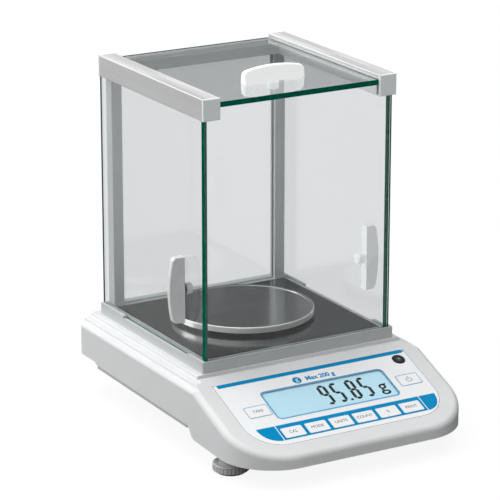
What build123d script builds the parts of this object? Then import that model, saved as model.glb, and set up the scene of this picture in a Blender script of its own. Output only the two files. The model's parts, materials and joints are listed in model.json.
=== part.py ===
from build123d import *
import math
import os

# Analytical balance with a sliding-door draught shield.  Millimetres, +Z up, front towards -Y.
# The origin is on the bench, under the centre of the balance.

# ---------------------------------------------------------------- driving dimensions
PAN_DIAMETER = 120.0
CASE_HALF_WIDTH = 110.0
CASE_FRONT_Y = -148.4
CASE_REAR_Y = 148.4
WALL = 2.8
FIT_GAP = 0.25
RUNNING_GAP = 0.06          # round a pin or stud that turns or slides

DECK_Z = 77.5               # top of the grey shield platform
SHOULDER_Z = 67.5           # top of the white case, under the platform
SKIRT_Z = 17.0              # lowest edge of the white case, at the front
PARTING_FRONT = (-45.0, 28.5)   # (y, z) where the side seam starts
PARTING_REAR = (115.0, 30.5)    # (y, z) where the side seam ends
REAR_EDGE_Z = 32.5          # lower edge of the case behind the seam

PANEL_Y = -42.0             # the panel's datum line, across the case under the shield's front
PANEL_Z = 67.33
PANEL_SLOPE = math.degrees(math.atan(0.39))
RIM_LENGTH = 112.4          # down the slope from the datum line to the front rim
RIM_CORNER = 47.0
FOOT_CORNER = 47.6          # corner radius of the case at the skirt
RIM_FILLET = 5.5
NOSE_OVERLAP = 2.0          # how far the nose runs back into the box of the case

PLATFORM_HALF_WIDTH = 92.25
PLATFORM_FRONT_Y = -40.6
PLATFORM_REAR_Y = 141.3
PAN_Y = 52.4
PAN_TOP_Z = 85.5
PAN_RIM_HEIGHT = 5.1

GLASS = 4.0
GROOVE_PLAY = 0.3
FRONT_GLASS_Y = -39.0       # outer face of the front pane
DOOR_FRONT_Y = -34.5
DOOR_REAR_Y = 142.0
DOOR_MID_X = 86.9           # middle of each side door's glass
DOOR_SINK = 3.0             # how far the panes stand in the platform's grooves
RAIL_FRONT_Y = -42.0
RAIL_REAR_Y = 140.3
RAIL_OUTER_X = 91.4
RAIL_INNER_X = 75.4
RAIL_BOTTOM_Z = 280.1
RAIL_TOP_Z = 298.3
RAIL_CAP = 2.0
TOP_GLASS_Z = 290.1         # underside of the sliding top pane
TOP_GLASS_HALF_WIDTH = 79.4
POST = 10.0
POST_OUTER_X = 84.0
POST_FRONT_Y = 126.0
BEAM_FRONT_Y = 122.5
BEAM_REAR_Y = 138.0

SIDE_HANDLE_Y = -1.5
SIDE_HANDLE_Z = 129.5
TOP_HANDLE_Y = 4.0
HANDLE_LENGTH = 57.0

FOOT_RADIUS = 15.0
STUD_RADIUS = 4.0
FOOT_FLUTES = 28
FOOT_PLACES = {
    "front_left": (-93.5, -89.0),
    "front_right": (93.5, -89.0),
    "rear_left": (-62.0, 116.0),
    "rear_right": (62.0, 116.0),
}

OVERLAY_HALF_WIDTH = 93.3
OVERLAY_TOP_S = 14.3        # distances s are measured down the slope from the datum line
OVERLAY_BOTTOM_S = 98.0
OVERLAY_CORNER = 30.0
OVERLAY = 0.6
WINDOW = (0.9, 50.25, 118.2, 35.5)      # (x, s, width, height) of the display window
WINDOW_CORNER = 5.0
WINDOW_SHEET = 1.2
WINDOW_LEDGE = 0.8          # shelf in the case that the window is stuck to
LEVEL_PLACE = (81.6, 26.4)
LEVEL_RADIUS = 5.7
KEY_PROUD = 0.35
KEY_TRAVEL_ROOM = 0.6
KEY_STEM_RADIUS = 3.0
FUNCTION_KEY = (19.0, 11.5)
FUNCTION_KEY_PITCH = 22.6
FUNCTION_KEY_FIRST_X = -53.5
FUNCTION_KEY_S = 84.3
BOARD_DEPTH = 6.2           # from the panel's face down to the display board
BOARD = 1.6

PANEL = Pos(0, PANEL_Y, PANEL_Z) * Rot(PANEL_SLOPE, 0, 0)

parts = {}


# ---------------------------------------------------------------- helpers
def block(x, y, z):
    """A box from three (low, high) pairs."""
    size = [high - low for low, high in (x, y, z)]
    middle = [(low + high) / 2 for low, high in (x, y, z)]
    return Pos(*middle) * Box(*size)


def rod(x, y, z, radius):
    """An upright cylinder at x, y between the two heights z."""
    return Pos(x, y, (z[0] + z[1]) / 2) * Cylinder(radius, z[1] - z[0])


def on_panel(x, s, depth=0.0):
    """A frame on the sloping panel: x across, s down the slope, depth along its normal."""
    return PANEL * Pos(x, -s, depth)


def panel_plate(x, s, width, height, corner, depth, thick):
    """A rounded plate parallel to the panel; depth is its underside, thick its thickness."""
    return on_panel(x, s, depth) * extrude(RectangleRounded(width, height, corner), thick)


def panel_rod(x, s, radius, depth, thick):
    return on_panel(x, s, depth + thick / 2) * Cylinder(radius, thick)


def tongue(half_width, back, front, corner):
    """An outline in x, y with a straight back edge and two rounded front corners."""
    outline = Polyline(
        (-half_width, front + corner), (-half_width, back), (half_width, back), (half_width, front + corner)
    )
    outline += RadiusArc((half_width, front + corner), (half_width - corner, front), corner)
    outline += Line((half_width - corner, front), (-half_width + corner, front))
    outline += RadiusArc((-half_width + corner, front), (-half_width, front + corner), corner)
    return make_face(outline)


def side_slab(points, half_width):
    """A solid across the case from an outline in y, z."""
    return extrude(Plane.YZ * make_face(Polyline(*points, close=True)), half_width, both=True)


def rounded(shape, edges, radius):
    """Fillets the edges with the largest of a few radii that the kernel can make."""
    for trial in (radius, radius * 0.8, radius * 0.6, radius * 0.4):
        try:
            return fillet(edges, trial)
        except (ValueError, RuntimeError):
            continue
    return shape


def key_places():
    """Name, x, s, width and height of each key."""
    places = [("tare_key", -70.0, 54.0, 20.0, 12.0), ("power_key", 76.3, 52.5, 19.4, 12.0)]
    names = ("calibrate_key", "mode_key", "units_key", "count_key", "percent_key", "print_key")
    for number, name in enumerate(names):
        x = FUNCTION_KEY_FIRST_X + number * FUNCTION_KEY_PITCH
        places.append((name, x, FUNCTION_KEY_S, *FUNCTION_KEY))
    return places


# ---------------------------------------------------------------- white case
def shoulder_profile(inset):
    """Half of the case's cross-section: two soft steps between the platform and the side wall."""
    wide = CASE_HALF_WIDTH - inset
    top = SHOULDER_Z - inset
    line = Polyline((0, top), (96.5 - inset, top))
    line += ThreePointArc((96.5 - inset, top), (97.7 - inset, top - 0.5), (98.2 - inset, top - 1.7))
    line += ThreePointArc((98.2 - inset, top - 1.7), (98.7 - inset, top - 2.9), (99.9 - inset, top - 3.4))
    line += Line((99.9 - inset, top - 3.4), (102.8 - inset, top - 3.5))
    line += ThreePointArc((102.8 - inset, top - 3.5), (104.0 - inset, top - 4.0), (104.5 - inset, top - 5.2))
    line += ThreePointArc((104.5 - inset, top - 5.2), (105.0 - inset, top - 6.3), (106.2 - inset, top - 6.8))
    line += ThreePointArc((106.2 - inset, top - 6.8), (108.9 - inset, top - 7.9), (wide, top - 10.6))
    line += Polyline((wide, top - 10.6), (wide, SKIRT_Z - 1), (0, SKIRT_Z - 1), (0, top))
    return make_face(line)


def profile_run(inset, front, rear):
    """The stepped cross-section run along the case between two y places."""
    half = extrude(Plane.XZ.offset(-front) * shoulder_profile(inset), front - rear)
    return half + mirror(half, Plane.YZ)


def rear_body(inset):
    """The box-like rear of the case, under the weighing chamber."""
    front, rear = PANEL_Y + inset, CASE_REAR_Y - inset
    plan = Pos(0, (front + rear) / 2, 0) * Rectangle(2 * (CASE_HALF_WIDTH - inset), rear - front)
    plan = fillet(plan.vertices().filter_by(lambda v: v.Y > 0), 5.0)
    return profile_run(inset, front, rear) & extrude(plan, 2 * SHOULDER_Z)


def front_body(inset):
    """The sloping nose: the panel's plane cuts the steps, and its rim is rounded."""
    back = NOSE_OVERLAP + inset
    wide = CASE_HALF_WIDTH - inset
    foot = Pos(0, 0, SKIRT_Z - (1 if inset else 0)) * tongue(
        wide, PANEL_Y + back, CASE_FRONT_Y + inset, FOOT_CORNER - inset
    )
    rim = on_panel(0, 0, -inset) * tongue(wide, back, -RIM_LENGTH + inset, RIM_CORNER - inset)
    nose = loft([foot, rim], ruled=True)
    nose = rounded(nose, nose.faces().sort_by(Axis.Z)[-1].edges(), RIM_FILLET - inset / 2)
    return nose & profile_run(inset, CASE_FRONT_Y - 1, PANEL_Y + back + 1)


def case_body(inset):
    return front_body(inset) + rear_body(inset)


def lower_edge():
    """The outline in y, z of everything under the upper case's lower edge."""
    return [
        (CASE_FRONT_Y - 5, SKIRT_Z - 5), (CASE_FRONT_Y - 5, SKIRT_Z), (-102.0, SKIRT_Z),
        (-57.0, 19.0), (-53.5, 20.2), (-48.5, 27.0), PARTING_FRONT, PARTING_REAR,
        (117.0, 31.0), (119.0, REAR_EDGE_Z), (CASE_REAR_Y + 5, REAR_EDGE_Z), (CASE_REAR_Y + 5, SKIRT_Z - 5),
    ]


CASE_BOSSES = [(-98.0, 95.0), (98.0, 95.0), (-98.0, -20.0), (98.0, -20.0), (-45.0, -128.0), (45.0, -128.0)]


def floor_z(y):
    """Underside of the lower case: it steps down in the nose."""
    return 26.5 if y > -48 else 18.6


def upper_case():
    shell = case_body(0) - case_body(WALL)
    boss_room = case_body(WALL / 2)
    shell -= side_slab(lower_edge(), CASE_HALF_WIDTH + 5)
    shell -= block((-PLATFORM_HALF_WIDTH - 0.3, PLATFORM_HALF_WIDTH + 0.3),
                   (PLATFORM_FRONT_Y - 0.2, CASE_REAR_Y), (SHOULDER_Z, DECK_Z))
    for x, y in CASE_BOSSES:
        bottom = floor_z(y) + 3.0
        shell += rod(x, y, (bottom, 66.0), 4.0) & boss_room
        shell -= rod(x, y, (bottom - 0.1, bottom + 12.0), 1.55)
    # recess for the membrane, pockets and holes for the keys, window, level and load column
    shell -= overlay_plate(FIT_GAP / 2, -OVERLAY)
    for _, x, s, width, height in key_places():
        shell -= panel_plate(x, s, width + 0.6, height + 0.6, 1.2, -OVERLAY - KEY_TRAVEL_ROOM, 2.0)
        shell -= panel_rod(x, s, KEY_STEM_RADIUS + 0.5, -6.0, 7.0)
    x, s, width, height = WINDOW
    shell -= panel_plate(x, s, width + 0.3, height + 0.3, WINDOW_CORNER, -WINDOW_SHEET, 3.0)
    opening = -2 * WINDOW_LEDGE
    shell -= panel_plate(x, s, width + opening, height + opening, WINDOW_CORNER - WINDOW_LEDGE, -6.0, 7.0)
    shell -= panel_rod(*LEVEL_PLACE, LEVEL_RADIUS + 1.35, -6.0, 7.0)
    shell -= rod(0, PAN_Y, (50.0, 70.0), 14.0)
    for x, y in PLATFORM_SCREWS:
        shell -= rod(x, y, (60.0, 70.0), 1.8)
    # sockets in the rear wall
    shell -= block((-75.3, -60.7), (140.0, 150.0), (36.7, 49.3))
    shell -= block((-45.3, -14.7), (140.0, 150.0), (36.7, 49.3))
    return shell


REAR_STEP_Y = 116.0         # behind this the tray's corners rise to the case's rear edge
REAR_CORNER_X = 38.0        # from here outwards, beside the bay of the weighing cell
TRAY_SHEET = 3.0


def raised_corners(tray):
    """Lifts the rear corners of the tray, so that its edge stays hidden in the upper case."""
    step_z = REAR_EDGE_Z + 0.2
    for side in (-1, 1):
        across = sorted((side * REAR_CORNER_X, side * CASE_HALF_WIDTH))
        tray -= block(across, (REAR_STEP_Y, CASE_REAR_Y), (20.0, step_z))
        corner = block(across, (REAR_STEP_Y, CASE_REAR_Y - 4.0), (step_z, step_z + TRAY_SHEET))
        corner += block(across, (REAR_STEP_Y - TRAY_SHEET, REAR_STEP_Y), (26.5, step_z + TRAY_SHEET))
        across = sorted((side * REAR_CORNER_X, side * (REAR_CORNER_X - TRAY_SHEET)))
        corner += block(across, (REAR_STEP_Y - TRAY_SHEET, CASE_REAR_Y - 4.0), (26.5, step_z + TRAY_SHEET))
        tray += corner & case_body(WALL + FIT_GAP)
    return tray


def lower_case():
    """The bottom tray with its side flanges, foot bosses and board posts."""
    outline = [
        (-160.0, 18.6), (-58.0, 18.6), (-47.0, 26.5), (146.0, 26.5),
        (146.0, 29.5), (-48.0, 29.5), (-59.0, 21.6), (-160.0, 21.6),
    ]
    inset = WALL + FIT_GAP
    tray = side_slab(outline, CASE_HALF_WIDTH) & case_body(inset)
    wide = CASE_HALF_WIDTH - inset
    for side in (-1, 1):
        inner, outer = sorted((side * (wide - 2.0), side * wide))
        tray += block((inner, outer), (-36.0, 140.0), (26.5, 35.0))
    flange = [(-44.5, 26.0), (-44.5, 28.3), (114.5, 30.3), (114.5, 27.9)]
    strip = side_slab(flange, CASE_HALF_WIDTH - 0.2)
    tray += strip - block((-wide + 1, wide - 1), (-50.0, 120.0), (20.0, 40.0))
    tray = raised_corners(tray)
    for x, y in FOOT_PLACES.values():
        tray += rod(x, y, (floor_z(y), 38.0), 8.0)
        tray -= rod(x, y, (floor_z(y) - 1.0, 39.0), STUD_RADIUS + RUNNING_GAP)
    for x, y in CASE_BOSSES:
        tray -= rod(x, y, (floor_z(y) - 1.0, floor_z(y) + 4.0), 1.9)
        tray -= rod(x, y, (floor_z(y) - 1.0, floor_z(y) + 1.6), 3.8)
    for x, y in MAIN_BOARD_SCREWS:
        tray += rod(x, y, (28.0, 36.0), 3.0)
        tray -= rod(x, y, (30.0, 36.1), 1.3)
    return tray


# ---------------------------------------------------------------- control panel
def overlay_plate(grow, depth, thick=3.0):
    """The membrane's outline, with large lower corners, as a plate from depth upwards."""
    face = tongue(OVERLAY_HALF_WIDTH + grow, -OVERLAY_TOP_S + grow, -OVERLAY_BOTTOM_S - grow, OVERLAY_CORNER)
    face = fillet(face.vertices().filter_by(lambda v: v.Y > -OVERLAY_TOP_S - 1), 3.0)
    return on_panel(0, 0, depth) * extrude(face, thick)


def keypad_overlay():
    sheet = overlay_plate(0, -OVERLAY, OVERLAY)
    for _, x, s, width, height in key_places():
        sheet -= panel_plate(x, s, width + 0.3, height + 0.3, 1.1, -3.0, 6.0)
    x, s, width, height = WINDOW
    sheet -= panel_plate(x, s, width + 0.2, height + 0.2, WINDOW_CORNER, -3.0, 6.0)
    sheet -= panel_rod(*LEVEL_PLACE, LEVEL_RADIUS + 0.15, -3.0, 6.0)
    return sheet


def key(x, s, width, height):
    cap = panel_plate(x, s, width, height, 1.0, -OVERLAY, OVERLAY + KEY_PROUD)
    cap += panel_rod(x, s, KEY_STEM_RADIUS, -OVERLAY - 3.6, 3.7)
    return cap


def display_board():
    board = panel_plate(0, 58.0, 172.0, 66.0, 2.0, -BOARD_DEPTH - BOARD, BOARD)
    for x, s in ((-82.0, 29.0), (82.0, 40.0), (-82.0, 87.0), (82.0, 87.0)):
        board -= panel_rod(x, s, 1.6, -10.0, 6.0)
    for x, y in CASE_BOSSES[-2:]:
        board -= rod(x, y, (0, DECK_Z), 4.6)
    return board


def key_switches():
    return [
        panel_plate(x, s, 6.0, 6.0, 0.5, -BOARD_DEPTH, BOARD_DEPTH - OVERLAY - 3.6 - 0.5)
        for _, x, s, _, _ in key_places()
    ]


def lcd_module():
    """The liquid-crystal cell, just under the window, on its wider back light."""
    x, s, width, height = WINDOW
    shrink = 2 * WINDOW_LEDGE + 0.4
    cell_top, cell_bottom = WINDOW_SHEET + 0.1, WALL + 0.4
    cell = panel_plate(x, s, width - shrink, height - shrink, WINDOW_CORNER - 1.0, -cell_bottom,
                       cell_bottom - cell_top)
    return cell + panel_plate(x, s, width + 8.0, height + 4.0, 1.0, -BOARD_DEPTH, BOARD_DEPTH - cell_bottom)


def level_housing():
    """The spirit level's cup."""
    cup = panel_rod(*LEVEL_PLACE, LEVEL_RADIUS + 1.2, -5.9, 5.2)
    cup -= panel_rod(*LEVEL_PLACE, LEVEL_RADIUS - 0.6, -4.9, 5.0)
    return cup


def level_lens():
    lens = panel_rod(*LEVEL_PLACE, LEVEL_RADIUS, -0.7, 1.0)
    return rounded(lens, lens.faces().sort_by(Axis.Z)[-1].edges(), 0.3)


# ---------------------------------------------------------------- shield platform and floor
PLATFORM_SCREWS = [(-70.0, 5.0), (70.0, 5.0), (-70.0, 112.0), (70.0, 112.0)]
FLOOR_HALF_WIDTH = 83.2
FLOOR_Y = (-33.2, 124.5)
FLOOR_TOP_Z = DECK_Z - 0.4
FLOOR_SHEET = 1.2


def shield_platform():
    deck = block((-PLATFORM_HALF_WIDTH, PLATFORM_HALF_WIDTH), (PLATFORM_FRONT_Y, PLATFORM_REAR_Y),
                 (SHOULDER_Z, DECK_Z))
    upright = deck.edges().filter_by(Axis.Z)
    deck = rounded(deck, upright, 1.0)
    half_groove = GLASS / 2 + GROOVE_PLAY
    bottom = DECK_Z - DOOR_SINK - GROOVE_PLAY
    for side in (-1, 1):
        low, high = sorted((side * (DOOR_MID_X - half_groove), side * (DOOR_MID_X + half_groove)))
        deck -= block((low, high), (FRONT_GLASS_Y - GROOVE_PLAY, PLATFORM_REAR_Y + 1), (bottom, DECK_Z + 1))
        low, high = sorted((side * DOOR_MID_X, side * (PLATFORM_HALF_WIDTH + 1)))
        deck -= block((low, high), (-14.0, 99.0), (DECK_Z - 2.5, DECK_Z + 1))
    deck -= block((-DOOR_MID_X - half_groove, DOOR_MID_X + half_groove),
                  (FRONT_GLASS_Y - GROOVE_PLAY, FRONT_GLASS_Y + GLASS + GROOVE_PLAY), (bottom, DECK_Z + 1))
    deck -= block((-FLOOR_HALF_WIDTH - 0.2, FLOOR_HALF_WIDTH + 0.2), (FLOOR_Y[0] - 0.2, FLOOR_Y[1] + 0.2),
                  (FLOOR_TOP_Z - FLOOR_SHEET, DECK_Z + 1))
    deck -= block((-60.0, 60.0), (-20.0, 108.0), (SHOULDER_Z - 1, DECK_Z - 4.0))
    deck -= rod(0, PAN_Y, (SHOULDER_Z - 1, DECK_Z), 14.0)
    for x, y in PLATFORM_SCREWS:
        deck -= rod(x, y, (SHOULDER_Z - 1, DECK_Z - 3.0), 1.55)
    return deck


def chamber_floor():
    sheet = block((-FLOOR_HALF_WIDTH, FLOOR_HALF_WIDTH), FLOOR_Y, (FLOOR_TOP_Z - FLOOR_SHEET, FLOOR_TOP_Z))
    sheet = rounded(sheet, sheet.edges().filter_by(Axis.Z), 2.0)
    return sheet - rod(0, PAN_Y, (70.0, 80.0), 12.0)


# ---------------------------------------------------------------- draught shield
def front_glass():
    wide = DOOR_MID_X + GLASS / 2
    return block((-wide, wide), (FRONT_GLASS_Y, FRONT_GLASS_Y + GLASS),
                 (DECK_Z - DOOR_SINK, TOP_GLASS_Z - 0.5))


def rear_glass():
    wide = POST_OUTER_X - POST + 3.0
    middle = POST_FRONT_Y + POST / 2
    return block((-wide, wide), (middle - GLASS / 2, middle + GLASS / 2), (DECK_Z, RAIL_BOTTOM_Z - 0.2))


def door_glass(side):
    low, high = sorted((side * (DOOR_MID_X - GLASS / 2), side * (DOOR_MID_X + GLASS / 2)))
    pane = block((low, high), (DOOR_FRONT_Y, DOOR_REAR_Y), (DECK_Z - DOOR_SINK, RAIL_BOTTOM_Z + 5.0))
    return pane - Pos(side * DOOR_MID_X, SIDE_HANDLE_Y, SIDE_HANDLE_Z) * Rot(0, 90, 0) * Cylinder(2.4, 10)


def top_glass():
    pane = block((-TOP_GLASS_HALF_WIDTH, TOP_GLASS_HALF_WIDTH), (FRONT_GLASS_Y, DOOR_REAR_Y),
                 (TOP_GLASS_Z, TOP_GLASS_Z + GLASS))
    return pane - rod(0, TOP_HANDLE_Y, (TOP_GLASS_Z - 1, TOP_GLASS_Z + GLASS + 1), 2.4)


def top_rail(side):
    """A rail with a groove below for the side door and a slot inside for the top door."""
    near, far = sorted((side * RAIL_INNER_X, side * RAIL_OUTER_X))
    rail = block((near, far), (RAIL_FRONT_Y + RAIL_CAP, RAIL_REAR_Y - RAIL_CAP), (RAIL_BOTTOM_Z, RAIL_TOP_Z))
    rail = rounded(rail, rail.edges().filter_by(Axis.Y), 0.8)
    return rail - rail_grooves(side)


def rail_grooves(side):
    half_groove = GLASS / 2 + GROOVE_PLAY
    low, high = sorted((side * (DOOR_MID_X - half_groove), side * (DOOR_MID_X + half_groove)))
    grooves = block((low, high), (FRONT_GLASS_Y, 160.0), (RAIL_BOTTOM_Z - 1, RAIL_BOTTOM_Z + 5.6))
    low, high = sorted((side * (RAIL_INNER_X - 1), side * (TOP_GLASS_HALF_WIDTH + GROOVE_PLAY)))
    grooves += block((low, high), (FRONT_GLASS_Y - 0.3, 160.0),
                     (TOP_GLASS_Z - GROOVE_PLAY, TOP_GLASS_Z + GLASS + GROOVE_PLAY))
    low, high = sorted((side * (RAIL_INNER_X - 1), side * (DOOR_MID_X + half_groove)))
    grooves += block((low, high), (FRONT_GLASS_Y - 0.3, FRONT_GLASS_Y + GLASS + 0.3),
                     (RAIL_BOTTOM_Z - 1, TOP_GLASS_Z))
    # a fine shadow line along the top of the inner face
    low, high = sorted((side * (RAIL_INNER_X - 1), side * (RAIL_INNER_X + 0.9)))
    grooves += block((low, high), (RAIL_FRONT_Y + RAIL_CAP, 160.0), (RAIL_TOP_Z - 1.7, RAIL_TOP_Z - 1.0))
    return grooves


def rail_cap(side, front):
    """A square moulded end cap; the rear ones are notched so that the doors can slide out."""
    near, far = sorted((side * RAIL_INNER_X, side * RAIL_OUTER_X))
    y = (RAIL_FRONT_Y, RAIL_FRONT_Y + RAIL_CAP) if front else (RAIL_REAR_Y - RAIL_CAP, RAIL_REAR_Y)
    cap = block((near, far), y, (RAIL_BOTTOM_Z, RAIL_TOP_Z))
    face = cap.faces().sort_by(Axis.Y)[0 if front else -1]
    cap = rounded(cap, face.edges(), 0.8)
    return cap if front else cap - rail_grooves(side)


def rear_beam():
    wide = RAIL_INNER_X
    beam = block((-wide, wide), (BEAM_FRONT_Y, BEAM_REAR_Y), (RAIL_BOTTOM_Z, TOP_GLASS_Z - 0.4))
    return rounded(beam, beam.edges().filter_by(Axis.X), 0.8)


def rear_post(side):
    """A square post on a small flange, grooved for the rear pane."""
    low, high = sorted((side * (POST_OUTER_X - POST), side * POST_OUTER_X))
    post = block((low, high), (POST_FRONT_Y, POST_FRONT_Y + POST), (DECK_Z, RAIL_BOTTOM_Z))
    post = rounded(post, post.edges().filter_by(Axis.Z), 0.6)
    flange = block((low - 0.4, high + 0.4), (POST_FRONT_Y - 1.2, POST_FRONT_Y + POST + 1.2),
                   (DECK_Z, DECK_Z + 1.6))
    middle = POST_FRONT_Y + POST / 2
    groove = POST_OUTER_X - POST + 3.0 + 0.2
    low, high = sorted((side * (POST_OUTER_X - POST - 2), side * groove))
    return post + flange - block((low, high), (middle - GLASS / 2 - 0.2, middle + GLASS / 2 + 0.2),
                                 (DECK_Z - 1, RAIL_BOTTOM_Z + 1))


def handle():
    """Grip and inner knob on a pane whose outer face is z = 0, the grip's length along x."""
    half = HANDLE_LENGTH / 2
    outline = Polyline(
        (-half + 2.5, 10.5), (-half, 8.0), (-half, 0), (half, 0), (half, 8.0), (half - 2.5, 10.5)
    )
    outline += ThreePointArc((half - 2.5, 10.5), (0, 13.4), (-half + 2.5, 10.5))
    slab = extrude(Plane.XZ * make_face(outline), 4.0, both=True)
    taper = Plane.YZ * Polygon((-4.0, 0), (4.0, 0), (2.2, 14.0), (-2.2, 14.0), align=None)
    grip = slab & extrude(taper, half + 1, both=True)
    outside = grip.edges().filter_by(lambda e: e.center().Z > 1.0)
    grip = rounded(grip, outside, 1.0)
    grip += rod(0, 0, (-GLASS - 4.0, 1.0), 2.0)
    knob = rod(0, 0, (-GLASS - 6.5, -GLASS), 5.0)
    knob = rounded(knob, knob.faces().sort_by(Axis.Z)[0].edges(), 2.0)
    knob -= rod(0, 0, (-GLASS - 4.5, -GLASS + 1), 2.05)
    return [grip, knob]


# ---------------------------------------------------------------- pan and weighing cell
PAN_SHEET = 1.0
SUPPORT_RADIUS = 54.0
CELL_FLOOR_Z = 29.5
RECEIVER_X = 12.0
LEVER_PIVOT_Y = 68.0
LEVER_PIVOT_Z = 47.0
GUIDE_PIVOT_Y = 112.0
POT_Y = 96.0
LOWER_GUIDE_Z = 36.0
UPPER_GUIDE_Z = 57.0
GUIDE_SHEET = 1.2
GUIDE_PIN_RADIUS = 1.2
LEVER_PIN_RADIUS = 2.0
CELL_SCREWS = [(-29.0, 42.0), (29.0, 42.0), (-29.0, 105.0), (29.0, 105.0)]


def pan():
    radius = PAN_DIAMETER / 2
    dish = rod(0, PAN_Y, (PAN_TOP_Z - PAN_RIM_HEIGHT, PAN_TOP_Z), radius)
    dish = rounded(dish, dish.faces().sort_by(Axis.Z)[-1].edges(), 0.9)
    dish -= rod(0, PAN_Y, (PAN_TOP_Z - PAN_RIM_HEIGHT - 1, PAN_TOP_Z - PAN_SHEET), radius - PAN_SHEET)
    # shallow recess, so that the rim stands a little proud of the weighing surface
    dish -= rod(0, PAN_Y, (PAN_TOP_Z - 0.35, PAN_TOP_Z + 1), radius - 3.2)
    ring = rod(0, PAN_Y, (PAN_TOP_Z - 3.0, PAN_TOP_Z - PAN_SHEET), 49.0)
    return dish + (ring - rod(0, PAN_Y, (PAN_TOP_Z - 4.0, PAN_TOP_Z), 46.0) & ring)


def pan_support():
    rest = PAN_TOP_Z - PAN_SHEET
    ring = rod(0, PAN_Y, (79.3, rest), SUPPORT_RADIUS) - rod(0, PAN_Y, (70.0, 90.0), SUPPORT_RADIUS - 3.0)
    spider = rod(0, PAN_Y, (79.3, 81.5), 12.0)
    for turn in range(4):
        arm = block((0, SUPPORT_RADIUS - 1.5), (-4.0, 4.0), (79.3, 81.5))
        spider += Pos(0, PAN_Y, 0) * Rot(0, 0, 45 + 90 * turn) * arm
    hub = rod(0, PAN_Y, (74.0, 81.5), 8.0) - rod(0, PAN_Y, (73.0, 80.0), 3.05)
    return ring + spider + hub - rod(0, PAN_Y, (73.0, 80.0), 3.05)


def load_receiver():
    """The hanger of the weighing cell, with its column up through the case."""
    hanger = block((-RECEIVER_X, RECEIVER_X), (PAN_Y - 7.0, PAN_Y + 7.0), (38.0, 55.0))
    hanger += rod(0, PAN_Y, (54.0, 74.0), 5.0) + rod(0, PAN_Y, (73.0, 79.9), 3.0)
    return hanger


def cell_base():
    """The cell's cast frame: a floor, side cheeks for the lever's pivot and a rear block."""
    frame = block((-34.0, 34.0), (36.0, 140.0), (CELL_FLOOR_Z, 33.0))
    frame += block((-34.0, 34.0), (GUIDE_PIVOT_Y + 3.0, 140.0), (33.0, 60.0))
    for side in (-1, 1):
        low, high = sorted((side * 17.0, side * 23.0))
        frame += block((low, high), (LEVER_PIVOT_Y - 4.0, GUIDE_PIVOT_Y + 3.0), (42.0, 54.0))
        frame -= Pos(side * 20.0, LEVER_PIVOT_Y, LEVER_PIVOT_Z) * Rot(0, 90, 0) * Cylinder(
            LEVER_PIN_RADIUS + RUNNING_GAP, 10
        )
        low, high = sorted((side * 31.4, side * 34.0))
        frame += block((low, high), (GUIDE_PIVOT_Y - 3.0, GUIDE_PIVOT_Y + 3.0), (33.0, 60.0))
        for z in (LOWER_GUIDE_Z, UPPER_GUIDE_Z):
            frame -= Pos(side * 33.0, GUIDE_PIVOT_Y, z) * Rot(0, 90, 0) * Cylinder(
                GUIDE_PIN_RADIUS + RUNNING_GAP, 4
            )
    for x, y in CELL_SCREWS:
        frame -= rod(x, y, (CELL_FLOOR_Z - 1, 34.0), 1.6)
    return frame


def magnet_pot():
    """Magnet system: an iron pot round a magnet post, with an annular air gap."""
    pot = rod(0, POT_Y, (33.0, 45.0), 15.0) - rod(0, POT_Y, (35.5, 46.0), 12.5)
    return pot + rod(0, POT_Y, (35.0, 44.0), 8.0)


def lever():
    """The force lever on its cross pivot, short arm towards the receiver."""
    beam = block((-5.0, 5.0), (PAN_Y + 9.5, POT_Y + 16.0), (49.0, 54.0))
    beam += block((-5.0, 5.0), (LEVER_PIVOT_Y - 3.0, LEVER_PIVOT_Y + 3.0), (44.5, 50.0))
    beam += Pos(0, LEVER_PIVOT_Y, LEVER_PIVOT_Z) * Rot(0, 90, 0) * Cylinder(LEVER_PIN_RADIUS, 48.0)
    return beam + rod(0, POT_Y, (47.0, 50.0), 10.8)


def coil():
    """The coil former that hangs in the magnet's air gap."""
    return rod(0, POT_Y, (38.5, 47.0), 10.8) - rod(0, POT_Y, (38.0, 48.0), 9.7)


def guide(z):
    """A thin forked guide between the cell's rear block and the receiver, on its pivot pins."""
    tip, heel = PAN_Y + 7.6, GUIDE_PIVOT_Y
    outer = [(0, tip), (9.0, tip), (30.8, tip + 16.0), (30.8, heel)]
    inner = [(24.0, heel), (24.0, tip + 19.0), (6.0, tip + 6.0), (0, tip + 6.0)]
    half = extrude(make_face(Polyline(*outer, *inner, close=True)), GUIDE_SHEET)
    blade = Pos(0, 0, z - GUIDE_SHEET / 2) * (half + mirror(half, Plane.YZ))
    for side in (-1, 1):
        blade += Pos(side * 28.9, heel, z) * Rot(0, 90, 0) * Cylinder(GUIDE_PIN_RADIUS, 9.8)
    return blade


def position_sensor():
    """Opto fork round the lever's flag, on a small board."""
    board = block((-12.0, 12.0), (113.4, 115.0), (36.0, 59.0))
    arm = block((6.0, 11.0), (106.0, 113.4), (47.0, 56.0))
    return [board, arm + mirror(arm, Plane.YZ)]


# ---------------------------------------------------------------- electronics and sockets
MAIN_BOARD_SCREWS = [(-86.0, 14.0), (-44.0, 14.0), (-86.0, 92.0), (-44.0, 92.0)]
MAIN_BOARD_Z = 36.0


def main_board():
    """The circuit board with its larger components standing on it."""
    board = block((-91.0, -39.0), (0.0, 98.0), (MAIN_BOARD_Z, MAIN_BOARD_Z + BOARD))
    for x, y in MAIN_BOARD_SCREWS:
        board -= rod(x, y, (MAIN_BOARD_Z - 1, MAIN_BOARD_Z + 3), 1.6)
    top = MAIN_BOARD_Z + BOARD
    chips = [((-78.0, -64.0), (30.0, 44.0), 2.0), ((-58.0, -50.0), (52.0, 62.0), 2.0),
             ((-88.0, -80.0), (60.0, 78.0), 9.0), ((-58.0, -50.0), (22.0, 34.0), 6.0)]
    pieces = [board] + [block(x, y, (top, top + high)) for x, y, high in chips]
    pieces += [rod(-70.0 + 11.0 * number, 78.0, (top, top + 11.0), 4.0) for number in range(3)]
    return pieces


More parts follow.
